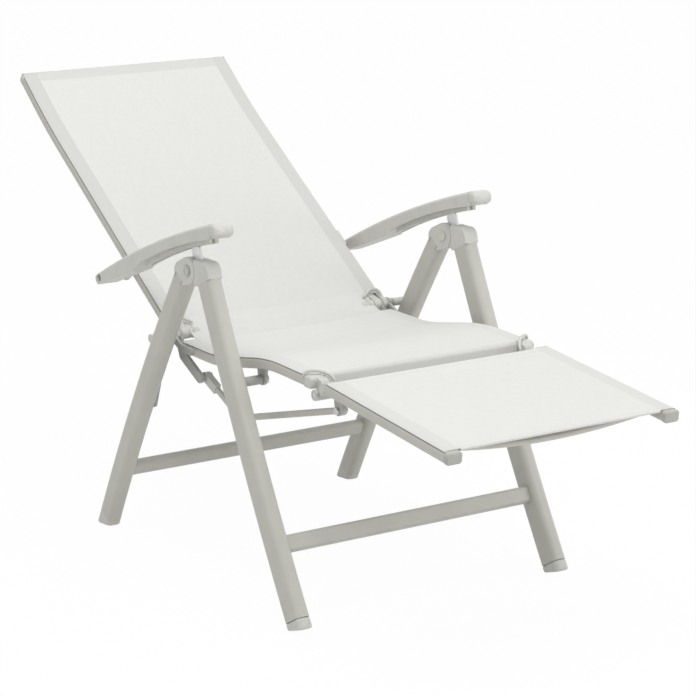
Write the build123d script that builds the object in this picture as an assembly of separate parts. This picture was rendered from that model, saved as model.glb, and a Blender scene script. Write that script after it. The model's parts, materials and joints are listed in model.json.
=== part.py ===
from build123d import *
from math import atan2, cos, degrees, hypot, radians, sin
import os

# A reclining garden armchair with a hinged footrest: a folding frame of powder coated
# aluminium tube, plastic heads, hinges and caps, and a woven sling on the back, seat and footrest.
# Millimetres. X runs across the chair, -Y is the front with the footrest, +Z is up.
# Side views are drawn as (y, z) with y = 0 on the pivot that joins the legs and z = 0 on the floor.
# At the end everything moves so that the origin lies on the floor under the middle of the chair.

# Widths across the chair
inside_width = 530.0
leg_width = 30.0
sling_frame_width = 478.0
rail_width = 30.0
armrest_width = 42.0
armrest_overhang = 6.0

# Legs, from the pivot between them to where they stand
head_pivot_height = 582.0
front_foot_reach = 362.0
front_top_reach = 54.0
front_top_drop = 12.0
front_leg_bow = 9.0
front_leg_depth = 50.0
rear_foot_reach = 363.0
rear_top_reach = 30.0
rear_top_drop = 16.0
rear_leg_bow = 10.0
rear_leg_depth = 45.0
leg_corner = 11.0
leg_wall = 1.8
foot_height = 26.0
foot_edge = 4.0
front_toe_angle = 19.0
rear_toe_angle = 5.0

# Crossbars between the legs
front_bar_height = 138.0
rear_bar_height = 133.0
crossbar_thickness = 20.0
crossbar_depth = 32.0
crossbar_wall = 1.8
crossbar_corner = 8.0
rear_bar_inset = 6.0

# Heads and the leg pivot
head_top_rise = 25.0
head_nose_height = 27.0
cheek_radius = 25.0
rear_head_rise = 8.0
tongue_radius = 20.0
tongue_thickness = 11.6
head_gap = 1.5
head_edge = 3.0
head_bolt_radius = 5.0
head_cap_radius = 9.5
head_cap_height = 2.0

# Pivots of the folding linkage
seat_pivot_reach = 135.0
seat_pivot_drop = 5.0
back_hinge_reach = 159.0
back_hinge_rise = 17.0
link_pivot_reach = 213.0
link_pivot_height = 279.0
link_thickness = 6.0
link_radius = 8.0
link_knob_radius = 8.0
link_knob_shift = 5.0
link_knob_drop = 2.0
link_knob_end = 285.0
pin_radius = 5.0
ear_radius = 11.0
running_clearance = 0.06
side_clearance = 0.3

# Rails of the seat, back and footrest
rail_height = 20.0
rail_wall = 1.6
rail_corner = 6.0
back_angle = 32.6
back_top_angle = 38.0
back_bend_setback = 138.0
back_bend_radius = 1500.0
back_length = 750.0
back_start = 27.0
back_rail_drop = 7.0
seat_rear_reach = 130.0
seat_rail_height = 405.0
seat_bend_reach = 2.0
seat_rise_reach = 180.0
seat_rise_rise = 36.0
seat_front_reach = 322.0
seat_front_rise = 33.5
seat_bend_radius = 420.0
seat_cut_back = 10.0
seat_bracket_inset = 7.0
seat_bracket_thickness = 6.0
foot_rail_start = 368.0
foot_rail_start_height = 438.5
foot_rail_end = 730.0
foot_rail_end_height = 406.5
end_cap_length = 8.0
cap_lip = 0.6

# Cross tubes of the three sling frames
cross_tube_height = 22.0
cross_tube_thickness = 14.0
cross_tube_corner = 6.0
cross_tube_wall = 1.5
cross_tube_bow = 26.0
seat_front_tube_reach = 306.0
seat_rear_tube_reach = 96.0
back_lower_tube_place = 150.0
back_top_tube_setback = 20.0
foot_tube_setback = 41.0
foot_tube_rise = 5.0
foot_tube_thickness = 10.0
foot_tube_bow = 19.5

# Slings
sling_thickness = 1.6
sling_margin = 1.5
sling_lip_gap = 4.0
sling_rest = 0.1
back_lip_start = 3.0
seat_lip_reach = 148.0
back_sling_start = 34.0
seat_sling_rear_reach = 114.0
foot_sling_setback = 12.0

# Hinge between the seat and the footrest
foot_pivot_reach = 348.0
foot_pivot_drop = 15.5
foot_ear_radius = 10.0
foot_ear_split = 227.0
foot_cap_height = 5.0

# Push rods that lift the footrest as the back goes down
crank_thickness = 6.0
outer_block_thickness = 9.0
rod_end_length = 42.0
rod_end_width = 12.0
crank_radius = 10.5
crank_bend_reach = 143.0
crank_bend_drop = 37.0
crank_end_reach = 80.0
crank_end_drop = 67.0
rod_centre = 212.0
rod_width = 8.0
rod_height = 12.0
rod_corner = 3.0
rod_wall = 1.2
rod_bend_reach = 42.0
rod_bend_drop = 51.0
rod_bend_radius = 90.0
rod_eye_radius = 9.0
rod_front_reach = 387.0
rod_front_drop = 22.0
rod_pin_radius = 4.0
rod_lug_thickness = 5.0

# Armrests and their racks
arm_pivot_reach = 337.0
arm_pivot_rise = 83.0
arm_rear_radius = 14.0
arm_top_mid_reach = 132.0
arm_top_mid_rise = 26.5
arm_seam_reach = 88.0
arm_seam_top_rise = 101.0
arm_seam_lean = 14.0
arm_seam_bottom_rise = 76.0
arm_low_mid_reach = 47.0
arm_low_mid_rise = 34.0
arm_low_rear_reach = 169.0
arm_low_rear_drop = 16.0
arm_step_reach = 197.0
arm_step_drop = 36.0
arm_cap_length = 24.0
arm_cap_thickness = 20.0
arm_cap_drop = 2.0
arm_edge = 6.0
arm_lug_thickness = 6.0
arm_lug_half_foot = 20.0
arm_pin_head_radius = 8.0
rack_width = 20.0
rack_depth = 8.0
rack_rear_reach = 166.0
rack_front_reach = 72.0
rack_slot_width = 6.0

# Struts that stand on the heads and hold the racks
strut_pivot_reach = 29.0
strut_pivot_drop = 7.0
strut_angle = 65.7
strut_length = 58.5
strut_width = 28.0
strut_thickness = 4.6
strut_pin_radius = 3.0
strut_slot_room = 0.4
strut_slot_side = 7.0

overrun = 60.0

# Shares of a size, and the angles where the armrest's round rear end begins and ends
bracket_share = 1.4
ear_start_share = 4.0
hinge_nose_share = 0.7
hinge_rise_share = 0.6
hinge_cheek_share = 0.9
rod_lug_share = 1.3
rod_head_share = 1.6
arm_round_top_angle = 105.0
arm_round_end_angle = 15.0
arm_round_bottom_angle = 285.0

# Worked out from the sizes above
front_top_height = head_pivot_height - front_top_drop
rear_top_height = head_pivot_height - rear_top_drop
head_top_height = head_pivot_height + head_top_rise
arm_seam_top_height = head_pivot_height + arm_seam_top_rise
arm_seam_bottom_height = head_pivot_height + arm_seam_bottom_rise
arm_top_mid_height = head_pivot_height + arm_top_mid_rise
arm_low_mid_height = head_pivot_height + arm_low_mid_rise
arm_low_rear_height = head_pivot_height - arm_low_rear_drop
arm_step_height = head_pivot_height - arm_step_drop
strut_pivot_height = head_pivot_height - strut_pivot_drop
seat_pivot_height = seat_rail_height - seat_pivot_drop
back_hinge_height = seat_rail_height + back_hinge_rise
seat_rise_height = seat_rail_height + seat_rise_rise
seat_front_height = seat_rail_height + seat_front_rise
foot_pivot_height = seat_front_height - foot_pivot_drop
crank_bend_height = back_hinge_height - crank_bend_drop
crank_end_height = back_hinge_height - crank_end_drop
rod_front_height = foot_pivot_height - rod_front_drop
rod_bend_height = crank_end_height - rod_bend_drop
arm_pivot_height = back_hinge_height + arm_pivot_rise
back_bend_place = back_length - back_bend_setback
inside = inside_width / 2
leg_outside = inside + leg_width
leg_middle = inside + leg_width / 2
rail_outside = sling_frame_width / 2
rail_inside = rail_outside - rail_width
rail_middle = rail_outside - rail_width / 2
arm_outside = leg_outside + armrest_overhang
arm_inside = arm_outside - armrest_width
arm_middle = arm_outside - armrest_width / 2

side_plane = Plane(origin=(0, 0, 0), x_dir=(0, 1, 0), z_dir=(1, 0, 0))
head_pivot = (0.0, head_pivot_height)
seat_pivot = (-seat_pivot_reach, seat_pivot_height)
back_hinge = (back_hinge_reach, back_hinge_height)
link_pivot = (link_pivot_reach, link_pivot_height)
foot_pivot = (-foot_pivot_reach, foot_pivot_height)
rod_front = (-rod_front_reach, rod_front_height)
crank_end = (crank_end_reach, crank_end_height)
arm_pivot = (arm_pivot_reach, arm_pivot_height)
strut_pivot = (-strut_pivot_reach, strut_pivot_height)


# Drawing helpers: a side view is a face in the (y, z) plane, and a place along X gives it depth

def moved(point, direction, distance):
    return (point[0] + direction[0] * distance, point[1] + direction[1] * distance)


def heading(angle):
    return (cos(radians(angle)), sin(radians(angle)))


def towards(start, end):
    length = hypot(end[0] - start[0], end[1] - start[1])
    return ((end[0] - start[0]) / length, (end[1] - start[1]) / length)


def left_of(direction):
    return (-direction[1], direction[0])


def disc(centre, radius):
    return Pos(centre[0], centre[1]) * Circle(radius)


def polygon(*points):
    return make_face(Polyline(*points, close=True))


def band(start, end, radius):
    side = left_of(towards(start, end))
    bar = polygon(
        moved(start, side, radius),
        moved(end, side, radius),
        moved(end, side, -radius),
        moved(start, side, -radius),
    )
    return bar + disc(start, radius) + disc(end, radius)


def slab(face, x_from, x_to):
    return extrude(side_plane.offset(x_from) * face, amount=x_to - x_from)


def rod_along_x(centre, radius, x_from, x_to):
    return slab(disc(centre, radius), x_from, x_to)


def in_space(point, x=0.0):
    return Vector(x, point[0], point[1])


def section_plane(origin, direction):
    return Plane(origin=origin, x_dir=(1, 0, 0), z_dir=direction)


def tube_section(width, height, corner, wall):
    inner_corner = max(corner - wall, wall / 2)
    outer = RectangleRounded(width, height, corner)
    return outer - RectangleRounded(width - 2 * wall, height - 2 * wall, inner_corner)


def mirrored(solid):
    return Compound([mirror(one, about=Plane.YZ) for one in solid.solids()])


def pair(solid):
    return Compound(solid.solids() + mirrored(solid).solids())


parts = {}


def add(name, solid):
    parts[name] = solid


def add_pair(name, solid):
    add(name + "_right", solid)
    add(name + "_left", mirrored(solid))


# Legs: one bowed oval tube each, with a plastic foot cut flat where it stands

def bowed_path(foot, top, bow):
    side = left_of(towards(foot, top))
    middle = ((foot[0] + top[0]) / 2, (foot[1] + top[1]) / 2)
    away = moved(middle, side, bow)
    return ThreePointArc(
        in_space(foot, leg_middle), in_space(away, leg_middle), in_space(top, leg_middle)
    )


def leg_tube(path, depth):
    share = foot_height / path.length
    upper = path.trim(share, 1.0)
    plane = section_plane(upper @ 0, upper % 0)
    return sweep(plane * tube_section(leg_width, depth, leg_corner, leg_wall), upper)


def leg_blank(path, depth):
    upper = path.trim(foot_height / path.length, 1.0)
    plane = section_plane(upper @ 0, upper % 0)
    return sweep(plane * RectangleRounded(leg_width, depth, leg_corner), upper)


def cut_foot(path, depth, toe_angle, drop):
    share = foot_height / path.length
    plane = section_plane(path @ share, -(path % share))
    plug = extrude(plane * RectangleRounded(leg_width, depth, leg_corner), foot_height + depth)
    rise = path % 0
    heel = (path @ 0).Y + depth / 2 / rise.Z - drop * rise.Y / rise.Z
    up = (0, sin(radians(toe_angle)), cos(radians(toe_angle)))
    sole_plane = Plane(origin=(0, heel, -drop), x_dir=(1, 0, 0), z_dir=up)
    standing = split(plug, bisect_by=sole_plane, keep=Keep.TOP)
    sole = standing.faces().sort_by(Axis.Z)[0]
    return fillet(sole.edges(), foot_edge)


def leg_foot(path, depth, toe_angle):
    lowest = cut_foot(path, depth, toe_angle, 0.0).bounding_box().min.Z
    return cut_foot(path, depth, toe_angle, lowest)


front_path = bowed_path(
    (-front_foot_reach, 0.0), (-front_top_reach, front_top_height), -front_leg_bow
)
rear_path = bowed_path((rear_foot_reach, 0.0), (rear_top_reach, rear_top_height), -rear_leg_bow)


def place_at_height(path, height):
    cut = path.intersect(Plane.XY.offset(height))
    point = cut.vertices()[0].center() if hasattr(cut, "vertices") else cut
    return (point.Y, point.Z)


def leg_direction(path, height):
    here = place_at_height(path, height)
    above = place_at_height(path, height + crossbar_depth / 2)
    return towards(here, above)


link_bolt_end = inside + leg_wall + pin_radius
link_bore = rod_along_x(link_pivot, pin_radius + running_clearance, inside - overrun, link_bolt_end)
front_leg = leg_tube(front_path, front_leg_depth)
rear_leg = leg_tube(rear_path, rear_leg_depth) - link_bore
add_pair("front_leg", front_leg)
add_pair("rear_leg", rear_leg)
add("front_feet", pair(leg_foot(front_path, front_leg_depth, front_toe_angle)))
add("rear_feet", pair(leg_foot(rear_path, rear_leg_depth, rear_toe_angle)))


# Crossbars: flat oval tubes whose broad side follows the legs

def crossbar(path, height, inset):
    direction = leg_direction(path, height)
    forward = (-abs(direction[1]), 0.0)
    centre = moved(place_at_height(path, height), forward, inset)
    tilt = degrees(atan2(direction[1], direction[0]))
    section = tube_section(crossbar_depth, crossbar_thickness, crossbar_corner, crossbar_wall)
    face = Pos(centre[0], centre[1]) * Rot(0, 0, tilt) * section
    return slab(face, -inside, inside)


add("front_crossbar", crossbar(front_path, front_bar_height, 0.0))
add("rear_crossbar", crossbar(rear_path, rear_bar_height, rear_bar_inset))


# Heads: the front leg's cap carries a tongue, and the rear leg's two cheeks turn on it

front_axis = towards((-front_foot_reach, 0.0), (-front_top_reach, front_top_height))
front_top = (-front_top_reach, front_top_height)
rear_top = (rear_top_reach, rear_top_height)
strut_direction = heading(strut_angle)
strut_side = left_of(strut_direction)


def strut_slot():
    lower = moved(strut_pivot, strut_direction, -(strut_width / 2 + strut_slot_side / 2))
    upper = moved(strut_pivot, strut_direction, strut_length + overrun)
    half = strut_width / 2 + strut_slot_side / 2
    mouth = half + strut_slot_side
    face = polygon(
        moved(lower, strut_side, half),
        moved(upper, strut_side, mouth),
        moved(upper, strut_side, -mouth),
        moved(lower, strut_side, -half),
    )
    reach = strut_thickness / 2 + strut_slot_room
    return slab(face, leg_middle - reach, leg_middle + reach)


def front_head():
    lower_front = moved(front_top, left_of(direction_of(front_path)), front_leg_depth / 2)
    lower_rear = moved(front_top, left_of(direction_of(front_path)), -front_leg_depth / 2)
    nose = (lower_front[0] + head_edge, head_top_height - head_nose_height / 2)
    crown = (-front_top_reach + head_edge, head_top_height)
    brow = (-cheek_radius, head_top_height)
    outline = (
        Polyline(lower_rear, lower_front, nose)
        + ThreePointArc(nose, crown_middle(nose, crown), crown)
        + Polyline(crown, brow, (-head_gap, head_pivot_height), lower_rear)
    )
    body = slab(make_face(outline), inside, leg_outside)
    swing = rod_along_x(head_pivot, cheek_radius + head_gap, inside - overrun, leg_outside + overrun)
    body = body - swing
    body = fillet_long_edges(body, head_edge)
    tongue_half = tongue_thickness / 2
    neck = polygon(
        (-cheek_radius - 2 * head_gap, head_pivot_height + tongue_radius),
        (0.0, head_pivot_height + tongue_radius),
        (0.0, head_pivot_height - tongue_radius),
        (-cheek_radius - 2 * head_gap, head_pivot_height - tongue_radius / 2),
    )
    tongue = slab(
        neck + disc(head_pivot, tongue_radius), leg_middle - tongue_half, leg_middle + tongue_half
    )
    whole = body + tongue
    whole = whole - strut_slot()
    bolt = rod_along_x(head_pivot, head_bolt_radius, inside - overrun, leg_outside + overrun)
    pin = rod_along_x(strut_pivot, strut_pin_radius, inside + leg_wall, leg_outside - leg_wall)
    return whole - bolt - pin


def direction_of(path):
    tangent = path % 1
    return towards((0.0, 0.0), (tangent.Y, tangent.Z))


def crown_middle(nose, crown):
    chord = towards(nose, crown)
    middle = ((nose[0] + crown[0]) / 2, (nose[1] + crown[1]) / 2)
    return moved(middle, left_of(chord), hypot(nose[0] - crown[0], nose[1] - crown[1]) / 5)


def fillet_long_edges(solid, radius):
    edges = solid.faces().sort_by(Axis.X)[0].edges() + solid.faces().sort_by(Axis.X)[-1].edges()
    top = [edge for edge in edges if edge.center().Z > head_pivot_height + cheek_radius / 2]
    return fillet(top, radius)


def rear_head():
    along = direction_of(rear_path)
    across = left_of(along)
    half = rear_leg_depth / 2
    shoulder = moved(rear_top, along, rear_head_rise)
    block = polygon(
        moved(rear_top, across, -half),
        moved(shoulder, across, -half),
        moved(shoulder, across, half),
        moved(rear_top, across, half),
    )
    rounds = disc(head_pivot, cheek_radius).edges() + disc(shoulder, half).edges()
    lobe = slab(block + make_hull(rounds), inside, leg_outside) - leg_blank(rear_path, rear_leg_depth)
    tongue_half = tongue_thickness / 2 + side_clearance
    room = rod_along_x(
        head_pivot, tongue_radius + head_gap, leg_middle - tongue_half, leg_middle + tongue_half
    )
    opening = slab(
        polygon(
            (-2 * cheek_radius, head_pivot_height + 2 * cheek_radius),
            (cheek_radius, head_pivot_height + 2 * cheek_radius),
            head_pivot,
            (cheek_radius / 2, head_pivot_height - 2 * cheek_radius),
            (-2 * cheek_radius, head_pivot_height - 2 * cheek_radius),
        ),
        leg_middle - tongue_half,
        leg_middle + tongue_half,
    )
    bore = rod_along_x(
        head_pivot, head_bolt_radius + running_clearance, inside - overrun, leg_outside + overrun
    )
    return lobe - room - opening - bore


def head_bolt():
    outer_end = leg_outside + head_cap_height
    shank = rod_along_x(head_pivot, head_bolt_radius, inside - head_cap_height, outer_end)
    outer = rod_along_x(head_pivot, head_cap_radius, leg_outside + side_clearance, outer_end)
    inner = rod_along_x(head_pivot, head_cap_radius, inside - head_cap_height, inside - side_clearance)
    return shank + outer + inner


add_pair("front_head", front_head())
add_pair("rear_head", rear_head())
add("head_bolts", pair(head_bolt()))


# Struts: flat zinc bars that stand in a slot of each front head and reach up into the rack

def strut():
    top = moved(strut_pivot, strut_direction, strut_length)
    half = strut_width / 2
    corner = half / 2
    bar = polygon(
        moved(strut_pivot, strut_side, half),
        moved(moved(top, strut_side, half), strut_direction, -corner),
        moved(top, strut_side, corner),
        moved(top, strut_side, -corner),
        moved(moved(top, strut_side, -half), strut_direction, -corner),
        moved(strut_pivot, strut_side, -half),
    )
    face = bar + disc(strut_pivot, half) - disc(strut_pivot, strut_pin_radius)
    return slab(face, leg_middle - strut_thickness / 2, leg_middle + strut_thickness / 2)


add("struts", pair(strut()))
strut_pin = rod_along_x(strut_pivot, strut_pin_radius, inside + leg_wall, leg_outside - leg_wall)
add("strut_pins", pair(strut_pin))


# Seat pivots: a spacer tube on each front leg, its bolt, and a bracket under the seat rail

bracket_inside = rail_inside + seat_bracket_inset
bracket_outside = bracket_inside + seat_bracket_thickness


def seat_spacer():
    start = bracket_outside + side_clearance
    tube = rod_along_x(seat_pivot, pin_radius + leg_wall * 2, start, inside)
    return tube - rod_along_x(seat_pivot, pin_radius, start - overrun, inside + overrun)


def seat_bolt():
    start = bracket_inside - pin_radius
    shank = rod_along_x(seat_pivot, pin_radius, start, inside)
    nut = rod_along_x(seat_pivot, ear_radius - leg_wall, start, bracket_inside - side_clearance)
    return shank + nut


add("seat_pivot_spacers", pair(seat_spacer()))
add("seat_pivot_bolts", pair(seat_bolt()))


# Seat frame: two rails that dip and rise towards the front, two cross tubes and the sling

seat_rear = (seat_rear_reach, seat_rail_height)
seat_bend = (-seat_bend_reach, seat_rail_height)
seat_rise = (-seat_rise_reach, seat_rise_height)
seat_front = (-seat_front_reach, seat_front_height)


def seat_path(x, lift=0.0, rear=seat_rear, front=seat_front):
    points = [rear, seat_bend, seat_rise, front]
    runs = [towards(start, end) for start, end in zip(points, points[1:])]
    lifted = []
    for point, before, after in zip(points, runs[:1] + runs, runs + runs[-1:]):
        reach = lift / (1 + before[0] * after[0] + before[1] * after[1])
        up = (before[1] + after[1], -before[0] - after[0])
        lifted.append(in_space(moved(point, up, reach), x))
    return FilletPolyline(*lifted, radius=seat_bend_radius)


def seat_rail():
    path = seat_path(rail_middle)
    plane = section_plane(path @ 0, path % 0)
    rail = sweep(plane * tube_section(rail_width, rail_height, rail_corner, rail_wall), path)
    half = rail_height / 2
    rear_cut = polygon(
        (seat_rear_reach - half + seat_cut_back, seat_rail_height + half),
        (seat_rear_reach - half - seat_cut_back, seat_rail_height - half),
        (seat_rear_reach + overrun, seat_rail_height - half - overrun),
        (seat_rear_reach + overrun, seat_rail_height + half + overrun),
    )
    return rail - slab(rear_cut, rail_inside - overrun, rail_outside + overrun)


def seat_rail_blank():
    path = seat_path(rail_middle)
    plane = section_plane(path @ 0, path % 0)
    return sweep(plane * RectangleRounded(rail_width, rail_height, rail_corner), path)


def height_under_seat_rail(y):
    slope = (seat_rise_height - seat_rail_height) / (seat_rise_reach - seat_bend_reach)
    return seat_rail_height + (-y - seat_bend_reach) * slope - rail_height / 4


def seat_bracket():
    front = seat_pivot[0] - ear_radius * bracket_share
    rear = seat_pivot[0] + ear_radius * bracket_share
    web = polygon(
        (front, height_under_seat_rail(front)),
        (rear, height_under_seat_rail(rear)),
        (seat_pivot[0] + ear_radius, seat_pivot_height),
        (seat_pivot[0] - ear_radius, seat_pivot_height),
    )
    face = web + disc(seat_pivot, ear_radius) - disc(seat_pivot, pin_radius + running_clearance)
    return slab(face, bracket_inside, bracket_outside) - seat_rail_blank()


def back_hinge_ear():
    start = (seat_rear_reach - ear_radius * ear_start_share, seat_rail_height)
    bend = (seat_rear_reach - ear_radius, seat_rail_height)
    face = band(start, bend, rail_height / 2 - rail_corner / 2)
    face = face + band(bend, back_hinge, rail_height / 3)
    face = face + disc(back_hinge, ear_radius) - disc(back_hinge, pin_radius + running_clearance)
    return slab(face, rail_outside, rail_outside + crank_thickness - side_clearance)


def cross_tube(place, direction, bow, thickness=cross_tube_thickness):
    x_reach = rail_inside
    side = left_of(direction)
    low = moved(place, side, -bow)
    path = ThreePointArc(
        in_space(place, -x_reach - cross_tube_height),
        in_space(low, 0.0),
        in_space(place, x_reach + cross_tube_height),
    )
    start = path @ 0
    along = Vector(0, direction[0], direction[1])
    plane = Plane(origin=start, x_dir=along, z_dir=path % 0)
    corner = cross_tube_corner * thickness / cross_tube_thickness
    section = tube_section(cross_tube_height, thickness, corner, cross_tube_wall)
    tube = sweep(plane * section, path)
    room = Pos(0, place[0], place[1]) * Box(2 * x_reach, 2 * overrun, 2 * overrun + 2 * abs(bow))
    return tube & room


def seat_sling():
    lift = rail_height / 2
    rear = (seat_sling_rear_reach, seat_rail_height)
    path = seat_path(0.0, lift + sling_rest + sling_thickness / 2, rear)
    half = rail_outside - sling_margin
    plane = section_plane(path @ 0, path % 0)
    cloth = sweep(plane * Rectangle(2 * half, sling_thickness), path)
    lip_front = (seat_sling_rear_reach - sling_lip_gap, seat_rail_height + lift)
    lip_rear = (seat_lip_reach, back_hinge_height)
    up = (0.0, 1.0)
    lip_face = polygon(
        lip_front,
        lip_rear,
        moved(lip_rear, up, sling_thickness),
        moved(lip_front, up, sling_thickness),
    )
    lip_half = rail_inside - pin_radius - sling_lip_gap
    return cloth + slab(lip_face, -lip_half, lip_half)


seat_tube_front = (-seat_front_tube_reach, seat_front_height)
seat_tube_rear = (seat_rear_tube_reach, seat_rail_height)
add_pair("seat_rail", seat_rail())
add("seat_brackets", pair(seat_bracket()))
add("back_hinge_ears", pair(back_hinge_ear()))
add("seat_front_tube", cross_tube(seat_tube_front, (-1.0, 0.0), -cross_tube_bow / 2))
add("seat_rear_tube", cross_tube(seat_tube_rear, (-1.0, 0.0), -cross_tube_bow / 2))
add("seat_sling", seat_sling())


# Hinge axles between the seat and the back, and the links that carry them on the rear legs

ear_outside = rail_outside + crank_thickness - side_clearance
link_inside = ear_outside + pin_radius + 2 * side_clearance
link_outside = link_inside + link_thickness
crank_outside = rail_outside - side_clearance - outer_block_thickness
crank_inside = crank_outside - crank_thickness


def hinge_axle():
    start = rail_inside - pin_radius
    shank = rod_along_x(back_hinge, pin_radius, start, link_inside - side_clearance)
    head = rod_along_x(back_hinge, ear_radius - leg_wall, start, rail_inside - side_clearance)
    collar = rod_along_x(
        back_hinge, ear_radius - leg_wall, ear_outside + side_clearance, link_inside - side_clearance
    )
    return shank + head + collar


link_knob_centre = (back_hinge_reach + link_knob_shift, back_hinge_height - link_knob_drop)


def link():
    face = band(back_hinge, link_pivot, link_radius) + disc(link_knob_centre, link_knob_radius)
    return slab(face, link_inside, link_outside) - link_bolt()


def link_bolt():
    shank = rod_along_x(link_pivot, pin_radius, link_inside, link_bolt_end)
    washer = rod_along_x(link_pivot, link_radius - leg_wall, link_outside, inside - side_clearance)
    return shank + washer


add("back_hinge_axles", pair(hinge_axle()))
add("links", pair(link()))
add("link_bolts", pair(link_bolt()))
add("link_knobs", pair(rod_along_x(link_knob_centre, link_knob_radius, link_outside, link_knob_end)))


# Back frame: straight rails, a top tube, hinge blocks, cranks and the sling

back_direction = heading(back_angle)
back_side = left_of(back_direction)
back_base = moved(back_hinge, back_side, -back_rail_drop)


back_bend = moved(back_base, back_direction, back_bend_place)
back_top_direction = heading(back_top_angle)


def on_back(place, lift=0.0):
    if place <= back_bend_place:
        return moved(moved(back_base, back_direction, place), back_side, lift)
    above = moved(back_bend, back_top_direction, place - back_bend_place)
    return moved(above, left_of(back_top_direction), lift)


def back_path(x, lift, start, end):
    half_turn = (back_top_angle - back_angle) / 2
    first = moved(moved(back_base, back_direction, start), back_side, lift)
    outward = left_of(heading(back_angle + half_turn))
    corner = moved(back_bend, outward, lift / cos(radians(half_turn)))
    last = on_back(end, lift)
    return FilletPolyline(
        in_space(first, x), in_space(corner, x), in_space(last, x), radius=back_bend_radius - lift
    )


def straight_tube(start, end, width, height, corner, wall, x):
    first = in_space(start, x)
    last = in_space(end, x)
    direction = (last - first).normalized()
    face = section_plane(first, direction) * tube_section(width, height, corner, wall)
    return extrude(face, amount=(last - first).length, dir=direction)


def straight_cross_tube(place, direction):
    tilt = degrees(atan2(direction[1], direction[0]))
    section = tube_section(cross_tube_height, cross_tube_thickness, cross_tube_corner, cross_tube_wall)
    return slab(Pos(place[0], place[1]) * Rot(0, 0, tilt) * section, -rail_inside, rail_inside)


def back_rail():
    path = back_path(rail_middle, 0.0, back_start, back_length - end_cap_length)
    plane = section_plane(path @ 0, path % 0)
    return sweep(plane * tube_section(rail_width, rail_height, rail_corner, rail_wall), path)


def end_cap(start, direction, x):
    first = in_space(start, x)
    along = Vector(0, direction[0], direction[1])
    outer = RectangleRounded(rail_width + 2 * cap_lip, rail_height + 2 * cap_lip, rail_corner)
    cap = extrude(section_plane(first, along) * outer, amount=end_cap_length, dir=along)
    far = cap.faces().sort_by(lambda face: face.center().dot(along))[-1]
    return fillet(far.edges(), rail_corner / 2)


def back_hinge_block():
    start = on_back(back_start)
    half = rail_height / 2
    web = polygon(
        moved(start, back_side, half - cap_lip),
        moved(start, back_side, -half + cap_lip),
        moved(back_hinge, back_side, -ear_radius),
        moved(back_hinge, back_side, ear_radius),
    )
    face = web + disc(back_hinge, ear_radius) - disc(back_hinge, pin_radius + running_clearance)
    return slab(face, rail_inside, crank_inside)


def crank():
    bend = (crank_bend_reach, crank_bend_height)
    face = band(back_hinge, bend, crank_radius) + band(bend, crank_end, crank_radius)
    face = face + disc(back_hinge, ear_radius) - disc(back_hinge, pin_radius + running_clearance)
    return slab(face, crank_inside, crank_outside)


def back_outer_block():
    start = on_back(back_start)
    half = rail_height / 2
    web = polygon(
        moved(start, back_side, half - cap_lip),
        moved(start, back_side, -half + cap_lip),
        moved(back_hinge, back_side, -ear_radius),
        moved(back_hinge, back_side, ear_radius),
    )
    face = web + disc(back_hinge, ear_radius) - disc(back_hinge, pin_radius + running_clearance)
    return slab(face, crank_outside, rail_outside - side_clearance)


def arm_lug():
    lift = rail_height / 4
    web = polygon(
        on_back(arm_place - arm_lug_half_foot, lift),
        on_back(arm_place + arm_lug_half_foot, lift),
        moved(arm_pivot, back_direction, ear_radius),
        moved(arm_pivot, back_direction, -ear_radius),
    )
    face = web + disc(arm_pivot, ear_radius) - disc(arm_pivot, pin_radius + running_clearance)
    return slab(face, rail_outside, rail_outside + arm_lug_thickness)


arm_ahead = (arm_pivot[0] - back_base[0]) * back_direction[0]
arm_above = (arm_pivot[1] - back_base[1]) * back_direction[1]
arm_place = arm_ahead + arm_above


def back_sling():
    lift = rail_height / 2 + sling_thickness / 2
    path = back_path(0.0, lift, back_sling_start, back_length - end_cap_length)
    plane = section_plane(path @ 0, path % 0)
    cloth = sweep(plane * Rectangle(2 * (rail_outside - sling_margin), sling_thickness), path)
    under = rail_height / 2
    over = under + sling_thickness
    lip_end = back_sling_start + sling_lip_gap
    lip_face = polygon(
        on_back(back_lip_start, under),
        on_back(lip_end, under),
        on_back(lip_end, over),
        on_back(back_lip_start, over),
    )
    lip_half = rail_inside - pin_radius - sling_lip_gap
    return cloth + slab(lip_face, -lip_half, lip_half)


back_end = on_back(back_length - end_cap_length)
add_pair("back_rail", back_rail())
add("back_caps", pair(end_cap(back_end, back_top_direction, rail_middle)))
back_top_tube_centre = on_back(back_length - back_top_tube_setback)
add("back_top_tube", straight_cross_tube(back_top_tube_centre, back_top_direction))
add("back_lower_tube", cross_tube(on_back(back_lower_tube_place), back_direction, cross_tube_bow))
hinge_blocks = back_hinge_block().solids() + back_outer_block().solids()
add("back_hinge_blocks", pair(Compound(hinge_blocks)))
add_pair("crank", crank())
add("arm_lugs", pair(arm_lug()))
add("back_sling", back_sling())


# Armrests: a bowed bar, a rounded cap in front, a slotted rack below and the pin behind

seam_top = (-arm_seam_reach, arm_seam_top_height)
seam_bottom = (-arm_seam_reach - arm_seam_lean, arm_seam_bottom_height)
low_rear = (arm_low_rear_reach, arm_low_rear_height)
low_mid = (arm_low_mid_reach, arm_low_mid_height)
top_rear = moved(arm_pivot, heading(arm_round_top_angle), arm_rear_radius)
arm_crest = (arm_top_mid_reach, arm_top_mid_height)


def arm_top_path():
    points = [in_space(point, arm_middle) for point in (seam_top, arm_crest, top_rear)]
    curve = ThreePointArc(*points)
    end = curve @ 1
    return Wire([curve, Line(end, end + (curve % 1) * (3 * arm_rear_radius))])


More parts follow.
